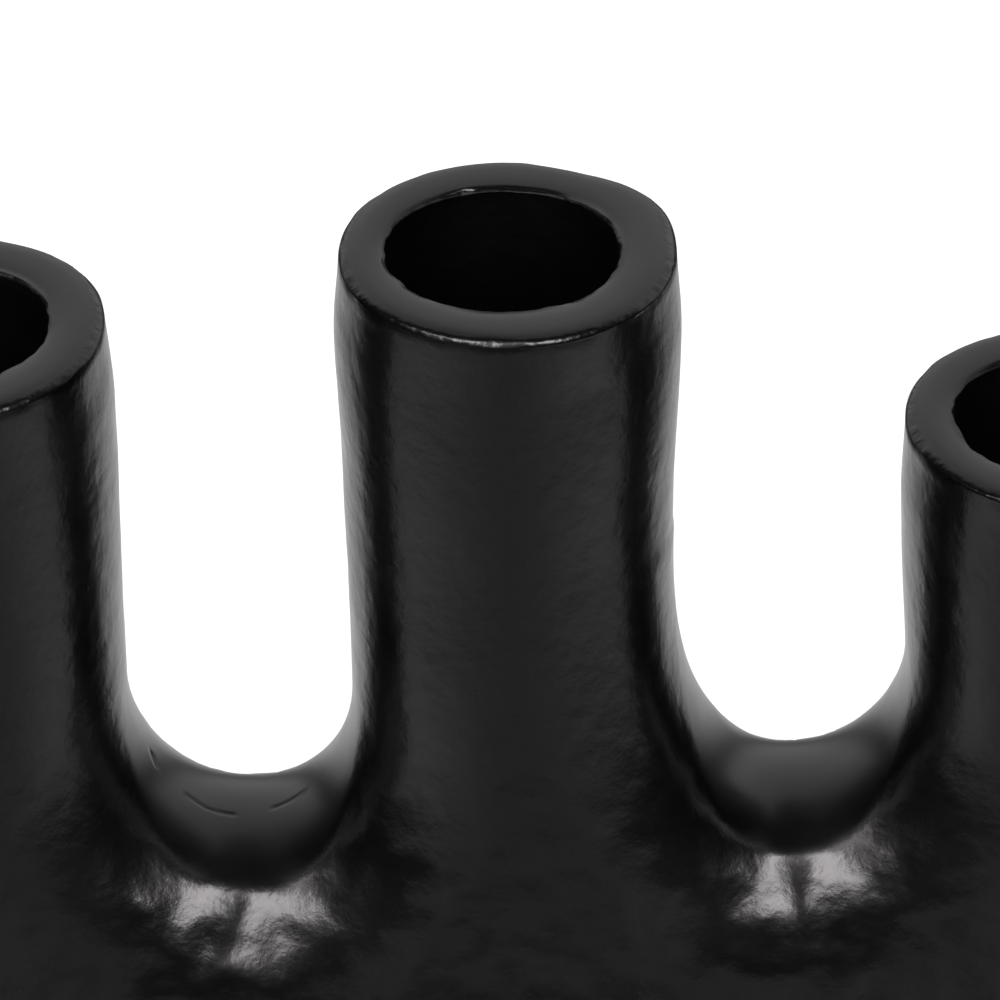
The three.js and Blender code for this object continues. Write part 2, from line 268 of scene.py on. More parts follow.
STOP_LOW, STOP_HIGH, _ = box_of("candle_stop_middle")
STOP_THICKNESS = STOP_HIGH[2] - STOP_LOW[2]
STOP_RADIUS = STOP_HIGH[0]
ARM_SPACING = box_of("candle_stop_right")[1][0] - STOP_RADIUS
LEAN_PIVOT = HEIGHT - LEFT_SADDLE_DROP - SADDLE_RADIUS + LEFT_BEND["climbs"][0]
ARMS = [Arm("left", LEFT_LEAN), Arm("middle", 0.0), Arm("right", 0.0)]


class Saddle:
    """Hangs between two arms: its centre line is a quarter of an ellipse on each side."""

    def __init__(self, left, right, drop, bend):
        self.left = left
        self.right = right
        self.bottom = HEIGHT - drop - SADDLE_RADIUS
        self.lowest = bend["lowest"]
        self.crease = bend["crease"]
        self.climbs = bend["climbs"]
        ends = [arm.axis(LEAN_PIVOT) for arm in (left, right)]
        self.reaches = (self.lowest - ends[0], ends[1] - self.lowest)

    def depth(self, x, z):
        """Distance into the gap between the arms from the saddle's centre line."""
        on_left = x < self.lowest
        reach = np.where(on_left, *self.reaches)
        climb = np.where(on_left, *self.climbs)
        across = (x - self.lowest) / reach
        up = (self.bottom + climb - z) / climb
        size = np.maximum(np.hypot(across, up), TINY)
        slope = np.hypot(across / reach, up / climb) / size
        between = np.minimum(x - self.left.axis(z), self.right.axis(z) - x)
        return np.where(up > 0, (1 - size) / slope, between)


SADDLES = [
    Saddle(ARMS[0], ARMS[1], LEFT_SADDLE_DROP, LEFT_BEND),
    Saddle(ARMS[1], ARMS[2], RIGHT_SADDLE_DROP, RIGHT_BEND),
]


# The casting's form


def trunk_top(x):
    """The trunk ends level with the lowest points of the two saddles' centre lines."""
    first, second = SADDLES
    along = (x - first.lowest) / (second.lowest - first.lowest)
    return first.bottom + (second.bottom - first.bottom) * along


def trunk_share(x, z):
    """0 at the widest part of the foot, 1 at the top of the trunk."""
    widest = FOOT_LEVEL + FOOT_EDGE
    return np.clip((z - widest) / (trunk_top(x) - widest), 0, 1)


def trunk_ends(x, z):
    """Middles of the trunk's two round ends at height z."""
    taper = (1 - trunk_share(x, z)) ** FOOT_TAPER
    left = ARMS[0].axis(z)
    right = ARMS[2].axis(z)
    return left + (-FOOT_END - left) * taper, right + (FOOT_END - right) * taper


def plate_distance(x, z):
    """Distance in the XZ plane to the flat plate that is the body's skeleton.

    The plate is the trunk with the two gaps cut out of its top, and the arms' axes. The second
    result is the distance past the nearer saddle's centre line, negative below it.
    """
    left_end, right_end = trunk_ends(x, z)
    past_end = np.maximum(left_end - x, x - right_end)
    past_saddle = np.maximum(*(saddle.depth(x, z) for saddle in SADDLES))
    return np.maximum(np.maximum(past_end, past_saddle), 0), past_saddle


def arm_radius(depth):
    """Radius of an arm at a depth below its rim."""
    down = np.clip(depth / WAIST_DEPTH, 0, 1)
    return WAIST_RADIUS + (RIM_RADIUS - WAIST_RADIUS) * (1 + np.cos(math.pi * down)) / 2


def wall_radius(x, z):
    """Distance from the skeleton plate to the surface."""
    rims = [arm.rim for arm in ARMS]
    first, second = SADDLES
    rim = np.where(x < first.lowest, rims[0], np.where(x < second.lowest, rims[1], rims[2]))
    flare = (FOOT_RADIUS - WAIST_RADIUS) * (1 - trunk_share(x, z)) ** FOOT_FLARE
    fade = smoothstep(*FLUTE_TOP, trunk_top(x) - z) * smoothstep(0, FLUTE_FOOT, z - FOOT_LEVEL)
    return arm_radius(rim - z) + flare - FLUTE_DEPTH * fade * valley_share(x)


def soft_max(first, second, blend):
    """The larger of two, with a soft change from one to the other."""
    closeness = np.maximum(blend - np.abs(first - second), 0) / blend
    return np.maximum(first, second) + closeness**2 * blend / 4


def valley_share(x):
    """1 half way between two arms, 0 on their axes and outside them."""
    valley = np.zeros_like(x)
    for saddle in SADDLES:
        half = SADDLE_SPREAD * sum(saddle.reaches) / 2
        middle = saddle.lowest + (saddle.reaches[1] - saddle.reaches[0]) / 2
        across = np.clip((x - middle) / half, -1, 1)
        valley = valley + (1 + np.cos(math.pi * across)) / 2
    return valley


def crease(x, y, over):
    """Depth of the groove down the body's faces under each saddle."""
    depth = np.zeros_like(x)
    for saddle in SADDLES:
        middle, deepest = saddle.crease
        depth = depth + deepest * np.exp(-(((x - middle) / CREASE_WIDTH) ** 2))
    return depth * smoothstep(*CREASE_LEVELS, over) * smoothstep(*CREASE_FACE, np.abs(y))


def cast_and_ground(points):
    """Fields of the body as it was cast, and of the face that was then ground along its saddles.

    Across a saddle the cast section has tighter corners than an arm, and its faces slope out
    from them until they are flush with the trunk.
    """
    x, y, z = points
    over = z - trunk_top(x)
    fade = 1 - smoothstep(*SADDLE_FADE, over)
    valley = valley_share(x) * fade
    cut = GROUND_CUT * smoothstep(*GROUND_START, over) * fade
    aside = np.minimum(*(np.abs(x - saddle.lowest) for saddle in SADDLES)) / (ARM_SPACING / 2)
    cut = cut * (1 - GROUND_SPARED * smoothstep(*GROUND_ASIDE, aside))
    distance, past_saddle = plate_distance(x, z)
    radius = wall_radius(x, z)
    corner = radius - valley * (WAIST_RADIUS - SADDLE_CORNER)
    shoulder = valley * SADDLE_SHOULDER
    flat = valley * SADDLE_FLAT
    draft = valley * SADDLE_DRAFT
    blend = np.maximum(valley * SADDLE_BLEND, LEAST_BLEND)
    above = np.maximum(distance - shoulder, 0)
    rounded = np.hypot(above, np.maximum(np.abs(y) - flat, 0)) - corner
    out = np.abs(y) - flat - corner * np.cos(draft)
    up = past_saddle - shoulder - corner * np.sin(draft)
    sloped = soft_max(out * np.cos(draft) + up * np.sin(draft), np.abs(y) - radius, blend)
    on_slope = (up < 0) & (valley > 0) & (distance <= np.maximum(past_saddle, 0))
    cast = np.where(on_slope, sloped, rounded) + crease(x, y, over)
    ground = np.sqrt((distance + GROUND_FLATTER) ** 2 + y * y) - radius - GROUND_FLATTER + cut
    return cast, ground


def body_field(points):
    """Negative inside the casting, positive outside, and about a distance in millimetres."""
    return np.maximum(*cast_and_ground(points))


def field_slope(points):
    """Gradient of the field."""
    step = 0.01
    slope = []
    for axis in range(3):
        shift = np.zeros((3, 1))
        shift[axis] = step
        slope.append((body_field(points + shift) - body_field(points - shift)) / (2 * step))
    return np.array(slope)


def on_surface(points, rounds=3):
    """Moves points along the field's slope onto the surface."""
    for _ in range(rounds):
        slope = field_slope(points)
        points = points - slope * body_field(points) / np.maximum((slope**2).sum(0), LEAST_SLOPE)
    return points


# Meshing


def net_levels():
    """Heights of the rows of cells, closer together further up."""
    levels = [NET_LOW]
    top = max(arm.rim for arm in ARMS)
    while levels[-1] < top:
        up = smoothstep(NET_LOW, NET_FINE_FROM, levels[-1])
        levels.append(levels[-1] + NET_STEP_LOW + (NET_STEP - NET_STEP_LOW) * up)
    return np.array(levels)


def surface_net():
    """Quads round the casting: one point in each cell that the surface passes through."""
    half_x = FOOT_END + FOOT_RADIUS + NET_STEP
    half_y = FOOT_RADIUS + NET_STEP
    xs = np.arange(-half_x, half_x + NET_STEP, NET_STEP)
    ys = np.arange(-half_y, half_y + NET_STEP, NET_STEP)
    zs = net_levels()
    grid = np.meshgrid(xs, ys, zs, indexing="ij")
    inside = body_field(grid) < 0
    counts = np.zeros([n - 1 for n in inside.shape], int)
    for corner in np.ndindex(2, 2, 2):
        counts += inside[tuple(slice(at, at + n) for at, n in zip(corner, counts.shape))]
    mixed = (counts > 0) & (counts < 8)
    cells = np.argwhere(mixed)
    number = np.full(mixed.shape, -1)
    number[mixed] = np.arange(len(cells))
    points = [(along[at] + along[at + 1]) / 2 for along, at in zip((xs, ys, zs), cells.T)]
    quads = [net_quads(inside, number, axis) for axis in range(3)]
    return np.array(points), np.concatenate(quads)


def net_quads(inside, number, axis):
    """Quads across the grid edges along one axis that the surface crosses."""
    turned_inside = np.moveaxis(inside, axis, 0)
    turned_number = np.moveaxis(number, axis, 0)
    crossing = turned_inside[:-1, 1:-1, 1:-1] != turned_inside[1:, 1:-1, 1:-1]
    i, j, k = np.nonzero(crossing)
    leaving = turned_inside[i, j + 1, k + 1]
    ring = [turned_number[i, j + a, k + b] for a, b in ((0, 0), (1, 0), (1, 1), (0, 1))]
    quads = np.array(ring).T
    forward = leaving if axis != 1 else ~leaving
    return np.where(forward[:, None], quads, quads[:, ::-1])


def neighbour_mean(points, edges):
    """Mean position of each point's neighbours."""
    count = points.shape[1]
    ends = np.concatenate([edges, edges[:, ::-1]])
    weight = np.bincount(ends[:, 0], minlength=count)
    sums = [np.bincount(ends[:, 0], points[axis][ends[:, 1]], count) for axis in range(3)]
    return np.array(sums) / np.maximum(weight, 1)


def edges_of(quads):
    """Each edge once, and the edges that only one face has."""
    sides = np.concatenate([quads[:, [i, (i + 1) % 4]] for i in range(4)])
    unique, uses = np.unique(np.sort(sides, axis=1), axis=0, return_counts=True)
    return unique, unique[uses == 1]


def trimmed_net():
    """The net with the arms cut off level below their rims, on the surface, and its open loops."""
    points, quads = surface_net()
    keep = np.ones(points.shape[1], bool)
    for arm in ARMS:
        near = np.abs(points[0] - arm.axis(points[2])) < ARM_SPACING / 2
        keep &= ~(near & (arm.depth(points) < ARM_CUT))
    quads = quads[keep[quads].all(1)]
    used, flat = np.unique(quads, return_inverse=True)
    points = points[:, used]
    quads = flat.reshape(quads.shape)
    points = on_surface(points)
    edges, open_edges = edges_of(quads)
    rim_points = np.unique(open_edges)
    loops = {}
    foot = rim_points[points[2][rim_points] < NET_LOW + 2 * NET_STEP_LOW]
    points[2][foot] = NET_LOW
    points[:, foot] = level_on_surface(points[:, foot])
    loops["foot"] = foot[np.argsort(np.arctan2(points[1][foot], points[0][foot]))]
    for arm in ARMS:
        centre = arm.place(0, 0, ARM_CUT)
        near = np.abs(points[0][rim_points] - centre[0]) < ARM_SPACING / 2
        loop = rim_points[near & (points[2][rim_points] > NET_LOW + 2 * NET_STEP_LOW)]
        angle = np.arctan2(points[1][loop], points[0][loop] - centre[0])
        loop = loop[np.argsort(angle)]
        turn = np.linspace(0, 2 * math.pi, len(loop), endpoint=False)
        turn += (np.sort(angle) - turn).mean()
        points[:, loop] = arm.place(arm_radius(ARM_CUT), turn, ARM_CUT)
        loops[arm.side] = (loop, turn)
    fixed = np.zeros(points.shape[1], bool)
    fixed[rim_points] = True
    for _ in range(RELAX_ROUNDS):
        moved = on_surface((points + neighbour_mean(points, edges)) / 2, 1)
        points = np.where(fixed, points, moved)
    return np.where(fixed, points, on_surface(points)), quads, loops


def level_on_surface(points):
    """Moves points onto the surface without leaving their height."""
    for _ in range(LEVEL_ROUNDS):
        slope = field_slope(points)
        slope[2] = 0
        points = points - slope * body_field(points) / (slope**2).sum(0)
    return points


class Shell:
    """A growing mesh: points, faces and a few masks that say how each point was finished."""

    MASKS = ("bore", "rim", "edge")

    def __init__(self, points, quads):
        self.points = [points.T]
        self.faces = [tuple(face) for face in quads.tolist()]
        self.count = points.shape[1]
        self.masks = {mask: [np.zeros(self.count)] for mask in self.MASKS}

    def ring(self, below, points, **masks):
        """Adds a ring of points above the last one, and quads between the two."""
        size = len(below)
        above = np.arange(self.count, self.count + size)
        self.points.append(points.T)
        self.count += size
        for mask in self.MASKS:
            self.masks[mask].append(np.full(size, masks.get(mask, 0.0)))
        for i in range(size):
            j = (i + 1) % size
            self.faces.append((int(below[i]), int(below[j]), int(above[j]), int(above[i])))
        return above

    def cap(self, loop):
        """Closes the last ring with one face."""
        self.faces.append(tuple(int(i) for i in loop))


# Arms and foot


def waves(seed, low, high, count=48):
    """A smooth random field: a sum of plane waves whose lengths lie between low and high."""
    rng = np.random.default_rng(seed)
    direction = rng.normal(size=(count, 3))
    direction /= np.linalg.norm(direction, axis=1)[:, None]
    length = rng.uniform(low, high, count)
    phase = rng.uniform(0, 2 * math.pi, count)
    vectors = direction * (2 * math.pi / length)[:, None]

    def field(points):
        total = np.zeros(len(points))
        for vector, start in zip(vectors, phase):
            total += np.cos(points @ vector + start)
        return total * math.sqrt(2 / count)

    return field


def unround(seed, orders, size):
    """How far a hand-finished circle strays from round, by angle."""
    rng = np.random.default_rng(seed)
    parts = [(order, rng.uniform(0.5, 1) / order, rng.uniform(0, 2 * math.pi)) for order in orders]
    norm = sum(amount for _, amount, _ in parts)

    def stray(angle):
        return size * sum(a * np.cos(n * angle + p) for n, a, p in parts) / norm

    return stray


def rim_profile():
    """Outline of an arm from its cut, over the rim and down the bore: (radius, depth, masks)."""
    rings = []
    for depth in np.arange(ARM_CUT - NET_STEP, RIM_EDGE + EDGE_CLEAR, -NET_STEP):
        rings.append((arm_radius(depth), depth, {}))
    outer = arm_radius(RIM_EDGE)
    drop = RIM_ROLL * math.tan(ROLL_SLOPE) / 2
    for step in range(EDGE_STEPS + 1):
        share = step / EDGE_STEPS
        angle = (math.pi / 2 - ROLL_SLOPE) * share
        radius = outer - RIM_EDGE + RIM_EDGE * math.cos(angle)
        depth = drop + RIM_EDGE - RIM_EDGE * math.sin(angle)
        rings.append((radius, depth, {"edge": math.sin(math.pi * share), "rim": share}))
    start = outer - RIM_EDGE + RIM_EDGE * math.sin(ROLL_SLOPE)
    rings += roll_rings(start, RIM_ROLL, drop, outward=True)
    inner = BORE_RADIUS + BORE_EDGE
    flat_from = start - RIM_ROLL
    flat_to = inner + BORE_ROLL
    for share in (0.33, 0.67):
        rings.append((flat_from + (flat_to - flat_from) * share, 0.0, {"rim": 1}))
    sink = BORE_ROLL * math.tan(ROLL_SLOPE) / 2
    rings += roll_rings(inner, BORE_ROLL, sink, outward=False)
    for step in range(1, EDGE_STEPS + 1):
        share = step / EDGE_STEPS
        angle = ROLL_SLOPE + (math.pi / 2 - ROLL_SLOPE) * share
        radius = inner - BORE_EDGE * (math.sin(angle) - math.sin(ROLL_SLOPE))
        depth = sink + BORE_EDGE * (math.cos(ROLL_SLOPE) - math.cos(angle))
        rings.append((radius, depth, {"edge": math.sin(math.pi * share), "bore": share}))
    wall = inner - BORE_EDGE * (1 - math.sin(ROLL_SLOPE))
    shoulder = SOCKET_DEPTH + STOP_THICKNESS + GAP
    close_depths = np.arange(1.6, 6, 0.8)
    wide_depths = np.linspace(6.5, shoulder, 14)
    for depth in (*close_depths, *wide_depths):
        settle = min(1, depth / BORE_TRUE)
        rings.append((wall + (BORE_RADIUS - wall) * settle, depth, {"bore": 1}))
    rings.append((CORE_RADIUS, shoulder, {"bore": 1}))
    rings.append((CORE_RADIUS, shoulder + BLIND_DEPTH, {"bore": 1}))
    return rings


def roll_rings(radius, width, drop, outward):
    """Rings over a soft roll: level on its flat side, sloping on its edge side."""
    rings = []
    for step in range(1 if outward else 0, ROLL_STEPS + 1):
        share = step / ROLL_STEPS
        if outward:
            rings.append((radius - width * share, drop * (1 - share) ** 2, {"rim": 1}))
        else:
            rings.append((radius + width * (1 - share), drop * share**2, {"rim": 1}))
    return rings


def add_arm_top(shell, arm, loop, angle):
    """Turned end of an arm: its last stretch, the flat rim, and the bore down to a blind end."""
    number = ARMS.index(arm)
    strays = {
        kind: unround(seed + number, orders, size)(angle)
        for kind, (seed, orders, size) in RIM_STRAYS.items()
    }
    outer_stray = strays["outside"] - RIM_LONGER * np.cos(2 * angle)
    for direction, amount, tightness in RIM_BULGES[arm.side]:
        turned_away = 1 - np.cos(angle - math.radians(direction))
        outer_stray = outer_stray + amount * np.exp(-tightness * turned_away)
    bore_stray = strays["bore"] - BORE_OFFSET * np.cos(angle)
    side_roll = RIM_SIDE_ROLL * np.cos(angle) ** 2
    for radius, depth, masks in rim_profile():
        near_rim = 1 - smoothstep(0, ARM_CUT - NET_STEP, depth)
        edge = masks.get("edge", 0.0)
        bore = masks.get("bore", 0.0)
        if bore or radius < BORE_RADIUS + BORE_EDGE + EDGE_SLACK:
            stray = bore_stray * (1 - smoothstep(0, SOCKET_DEPTH / 2, depth))
            stray = stray + strays["dents"] * max(edge, DENTS_IN_BORE * bore * near_rim)
        else:
            share = smoothstep(BORE_RADIUS, RIM_RADIUS, radius)
            stray = share * outer_stray * near_rim + (1 - share) * bore_stray
            stray = stray + strays["knocks"] * edge - side_roll * masks.get("rim", 0.0) * share
        loop = shell.ring(loop, arm.place(radius + stray, angle, depth), **masks)
    shell.cap(loop)


def add_foot(shell, loop, points):
    """Lower edge of the foot, its flat underside, and the recess that the base plate sits in."""
    x, y, z = points[:, loop]
    left, right = trunk_ends(x, z)
    middle = np.clip(x, left, right)
    away = np.array([x - middle, y])
    away /= np.linalg.norm(away, axis=0)
    along = middle / np.where(middle < 0, -left, right)
    widest = FOOT_LEVEL + FOOT_EDGE
    rings = []
    for height in np.linspace(NET_LOW, widest, 4)[1:]:
        rings.append((float(wall_radius(np.array([0.0]), np.array([height]))[0]), height))
    for angle in np.linspace(0, math.pi / 2, FOOT_EDGE_RINGS + 1)[1:]:
        radius = FOOT_RADIUS - FOOT_EDGE * (1 - math.cos(angle))
        rings.append((radius, widest - FOOT_EDGE * math.sin(angle)))
    recess = FOOT_RADIUS - RECESS_LIP
    rings += [
        ((FOOT_RADIUS - FOOT_EDGE + recess) / 2, FOOT_LEVEL),
        (recess + RECESS_EDGE, FOOT_LEVEL),
        (recess, FOOT_LEVEL + RECESS_EDGE),
        (recess, RECESS_TOP),
        (recess - CAP_INSET, RECESS_TOP),
    ]
    loop = loop[::-1]
    middle, along, away = middle[::-1], along[::-1], away[:, ::-1]
    for radius, height in rings:
        ends = trunk_ends(np.array([-FOOT_END, FOOT_END]), np.array([height, height]))
        reach = np.where(along < 0, -ends[0][0], ends[1][1])
        x = along * reach + away[0] * radius
        level = np.full(len(loop), height)
        loop = shell.ring(loop, np.array([x, away[1] * radius, level]))
    shell.cap(loop)


def new_object(name, data):
    piece = bpy.data.objects.new(name, data)
    bpy.context.scene.collection.objects.link(piece)
    return piece


def make_mesh(name, points, faces):
    """Smooth Blender object from points in millimetres."""
    mesh = bpy.data.meshes.new(name)
    mesh.from_pydata((points * MM).tolist(), [], faces)
    mesh.validate()
    mesh.shade_smooth()
    return new_object(name, mesh)


def move_points(piece, points):
    """Moves a piece's points to places in millimetres."""
    piece.data.vertices.foreach_set("co", (points * MM).astype(np.float32).ravel())
    piece.data.update()


def vertex_normals(piece):
    normals = np.zeros(len(piece.data.vertices) * 3)
    piece.data.vertex_normals.foreach_get("vector", normals)
    return normals.reshape(-1, 3)


def off_nicks(place):
    """Distance in plan from each point to the nearest nick on the saddle."""
    nearest = np.full(len(place), np.inf)
    for start, end in TOOL_NICKS:
        along = np.subtract(end, start)
        from_start = place[:, :2] - start
        share = np.clip(from_start @ along / (along @ along), 0, 1)
        gap = np.linalg.norm(from_start - share[:, None] * along, axis=1)
        nearest = np.minimum(nearest, gap)
    return np.where(place[:, 2] > SADDLES[0].bottom, nearest, np.inf)


def finer_at_nicks(piece):
    """Cuts the faces round the nicks finer, and gives the new points their true places."""
    mesh = bmesh.new()
    mesh.from_mesh(piece.data)
    old_count = len(mesh.verts)
    place = np.array([vertex.co for vertex in mesh.verts]) / MM
    near = off_nicks(place) < 2 * NET_STEP
    chosen = [edge for edge in mesh.edges if all(near[vertex.index] for vertex in edge.verts)]
    bmesh.ops.subdivide_edges(mesh, edges=chosen, cuts=NICK_CUTS, use_grid_fill=True)
    mesh.verts.index_update()
    place = np.array([vertex.co for vertex in mesh.verts]) / MM
    place[old_count:] = on_surface(place[old_count:].T).T
    mesh.to_mesh(piece.data)
    mesh.free()
    move_points(piece, place)
    return place


def casting():
    """The whole black body, with its cast and hand-ground surface in the mesh."""
    points, quads, loops = trimmed_net()
    shell = Shell(points, quads)
    for arm in ARMS:
        add_arm_top(shell, arm, *loops[arm.side])
    add_foot(shell, loops["foot"], points)
    place = np.concatenate(shell.points)
    masks = {mask: np.concatenate(parts) for mask, parts in shell.masks.items()}
    piece = make_mesh("body", place, shell.faces)
    place = finer_at_nicks(piece)
    added = (0, len(place) - len(masks["rim"]))
    masks = {mask: np.pad(values, added) for mask, values in masks.items()}
    normals = vertex_normals(piece)
    ground = ground_share(place, masks)
    relief = surface_relief(place, ground, masks)
    relief = relief - NICK_DEPTH * np.exp(-((off_nicks(place) / NICK_WIDTH) ** 2))
    move_points(piece, place + normals * relief[:, None])
    for mask, values in {**masks, "ground": ground}.items():
        attribute = piece.data.attributes.new(mask, "FLOAT", "POINT")
        attribute.data.foreach_set("value", values.astype(np.float32))
    return piece


def ground_share(place, masks):
    """1 on the ground faces: the saddles, up the facing sides of the arms, and the rims."""
    cast, ground = cast_and_ground(place.T)
    return np.clip(smoothstep(*GROUND_BORDER, ground - cast) + masks["rim"], 0, 1)


def surface_relief(place, ground, masks):
    """How far the real surface stands out from the ideal one: never at a rim or the foot's edge."""
    height = place[:, 2]
    full = smoothstep(*LUMPS_FADE, HEIGHT - height)
    coarse = LEAST_LUMPS + (1 - LEAST_LUMPS) * full
    swell = waves(*SWELL[:3])(place) * SWELL[3]
    lumps = waves(*LUMPS[:3])(place) * LUMPS[3]
    relief = swell + lumps * coarse * (1 - LUMPS_GROUND_OFF * ground)
    relief = relief * (1 - SKIN_OFF_RIM * masks["rim"]) * (1 - masks["edge"] * SKIN_OFF_EDGE)
    off_foot = smoothstep(*SKIN_FOOT, height - FOOT_LEVEL)
    return np.minimum(relief, 0) + np.maximum(relief, 0) * off_foot * (1 - masks["rim"])


# Materials


def new_material(name):
    """A material, its nodes, its shader and the place on the object that it colours."""
    material = bpy.data.materials.new(name)
    material.use_nodes = True
    tree = material.node_tree
    shader = next(made for made in tree.nodes if made.type == "BSDF_PRINCIPLED")
    return material, tree, shader, node(tree, "ShaderNodeTexCoord").outputs["Object"]


def node(tree, kind, **values):
    """A node with its inputs and settings set by name."""
    made = tree.nodes.new(kind)
    for key, value in values.items():
        if key in made.inputs:
            made.inputs[key].default_value = value
        else:
            setattr(made, key, value)
    return made


def link(tree, out, into):
    tree.links.new(out, into)


def math_node(tree, operation, first, second):
    made = node(tree, "ShaderNodeMath", operation=operation)
    for socket, value in zip(made.inputs, (first, second)):
        if isinstance(value, (int, float)):
            socket.default_value = value
        else:
            link(tree, value, socket)
    return made.outputs[0]


def ramp(tree, factor, low, high, from_low=0.0, from_high=1.0):
    ends = {"From Min": from_low, "From Max": from_high, "To Min": low, "To Max": high}
    made = node(tree, "ShaderNodeMapRange", **ends)
    link(tree, factor, made.inputs["Value"])
    return made.outputs["Result"]


def noise(tree, place, scale, detail=2.0, roughness=0.5):
    made = node(tree, "ShaderNodeTexNoise", Scale=scale, Detail=detail, Roughness=roughness)
    link(tree, place, made.inputs["Vector"])
    return made.outputs["Fac"]


def mask_of(tree, name):
    return node(tree, "ShaderNodeAttribute", attribute_name=name).outputs["Fac"]


def times(tree, first, second):
    return math_node(tree, "MULTIPLY", first, second)


def plus(tree, first, *others):
    for other in others:
        first = math_node(tree, "ADD", first, other)
    return first


def colour_by(tree, shader, factor, dark, light, start, end):
    """Base colour that goes from dark to light as the factor goes from start to end."""
    shade = node(tree, "ShaderNodeValToRGB")
    for stop, place, colour in zip(shade.color_ramp.elements, (start, end), (dark, light)):
        stop.position = place
        stop.color = (*colour, 1)
    link(tree, factor, shade.inputs["Fac"])
    link(tree, shade.outputs["Color"], shader.inputs["Base Color"])


def raised_by(tree, shader, height, distance, strength):
    """Bump of a distance in metres; its strength is a number or a node's output."""
    bump = node(tree, "ShaderNodeBump", Distance=distance)
    if isinstance(strength, float):
        bump.inputs["Strength"].default_value = strength
    else:
        link(tree, strength, bump.inputs["Strength"])
    link(tree, height, bump.inputs["Height"])
    link(tree, bump.outputs["Normal"], shader.inputs["Normal"])


def black_coating():
    """Satin black coating over a cast skin: leathery where cast, smoother where ground."""
    material, tree, shader, place = new_material("black_coating")
    bore, ground, edge = (mask_of(tree, name) for name in ("bore", "ground", "edge"))
    leather = noise(tree, place, scale=420, detail=1.5)
    grain = noise(tree, place, scale=1700, roughness=0.6)
    knocks = times(tree, edge, noise(tree, place, scale=900, detail=1.0))
    height = plus(tree, leather, times(tree, grain, 0.25), knocks)
    cast = math_node(tree, "SUBTRACT", 1.0, times(tree, ground, 0.85))
    strength = plus(tree, times(tree, cast, 0.45), times(tree, bore, 0.5), times(tree, edge, 0.35))
    raised_by(tree, shader, height, distance=0.00022, strength=strength)
    cloud = noise(tree, place, scale=90, detail=4.0, roughness=0.6)
    rough = ramp(tree, cloud, low=0.24, high=0.3, from_low=0.3, from_high=0.7)
    rough = plus(tree, rough, times(tree, ground, 0.03), times(tree, bore, 0.35))
    link(tree, rough, shader.inputs["Roughness"])
    link(tree, ramp(tree, bore, low=0.5, high=0.04), shader.inputs["Specular IOR Level"])
    shader.inputs["Specular Tint"].default_value = (1.0, 0.95, 0.97, 1)
    dark, light = (0.0003, 0.0003, 0.0003), (0.0009, 0.0009, 0.0010)
    colour_by(tree, shader, cloud, dark, light, start=0.3, end=0.75)
    return material


def painted_steel(name, colour, roughness):
    """Matte painted steel with a fine, slightly uneven coat and rubbed spots."""
    material, tree, shader, place = new_material(name)
    cloud = noise(tree, place, scale=160, detail=4.0, roughness=0.6)
    uneven = 0.07
    rough = ramp(tree, cloud, roughness - uneven, roughness + uneven, from_low=0.3, from_high=0.7)
    link(tree, rough, shader.inputs["Roughness"])
    dark, light = ([share * value for value in colour] for share in (0.75, 1.5))
    colour_by(tree, shader, cloud, dark, light, start=0.35, end=0.72)
    grain = noise(tree, place, scale=1400, detail=3.0, roughness=0.6)
    raised_by(tree, shader, grain, distance=0.00008, strength=0.5)
    return material


def zinc_plate():
    """Bright zinc plating with a slight mottle."""
    material, tree, shader, place = new_material("screw_zinc")
    cloud = noise(tree, place, scale=700, detail=4.0, roughness=0.6)
    shader.inputs["Metallic"].default_value = 1.0
    colour_by(tree, shader, cloud, (0.42, 0.43, 0.44), (0.66, 0.66, 0.64), start=0.3, end=0.7)
    rough = ramp(tree, cloud, low=0.24, high=0.42, from_low=0.3, from_high=0.7)
    link(tree, rough, shader.inputs["Roughness"])
    grain = noise(tree, place, scale=3000, roughness=0.6)
    raised_by(tree, shader, grain, distance=0.00003, strength=0.5)
    return material


def felt():
    """Dark wool felt: matted fibres with a soft bloom."""
    material, tree, shader, place = new_material("pad_felt")
    shader.inputs["Sheen Weight"].default_value = 0.4
    shader.inputs["Sheen Roughness"].default_value = 0.6
    stretched = node(tree, "ShaderNodeMapping", Scale=(1.0, 2.6, 1.4))
    link(tree, place, stretched.inputs["Vector"])
    fibres = noise(tree, stretched.outputs["Vector"], scale=1100, detail=5.0, roughness=0.7)
    colour_by(tree, shader, fibres, (0.007, 0.007, 0.0075), (0.032, 0.032, 0.033), start=0.3, end=0.75)
    link(tree, ramp(tree, fibres, low=0.85, high=1.0), shader.inputs["Roughness"])
    raised_by(tree, shader, fibres, distance=0.0004, strength=0.7)
    return material


# Small pieces


def closed_rings(name, rings):
    """Closed piece through rings of points, each with as many points as the last."""
    size = len(rings[0])
    faces = []
    for level in range(len(rings) - 1):
        for side in range(size):
            after = (side + 1) % size
            low = level * size
            high = low + size
            faces.append((low + side, low + after, high + after, high + side))
    faces.append(tuple(range(size)))
    last = (len(rings) - 1) * size
    faces.append(tuple(range(last, last + size)))
    piece = make_mesh(name, np.concatenate(rings), faces)
    mesh = bmesh.new()
    mesh.from_mesh(piece.data)
    bmesh.ops.recalc_face_normals(mesh, faces=mesh.faces)
    mesh.to_mesh(piece.data)
    mesh.free()
    return piece


def turned(name, profile, middle, sides):
    """Turned piece about an upright axis; the profile is (radius, height) pairs."""
    angle = np.linspace(0, 2 * math.pi, sides, endpoint=False)
    x, y = middle
    rings = []
    for radius, height in profile:
        height = np.full(sides, height)
        rings.append(np.array([x + radius * np.cos(angle), y + radius * np.sin(angle), height]).T)
    return closed_rings(name, rings)


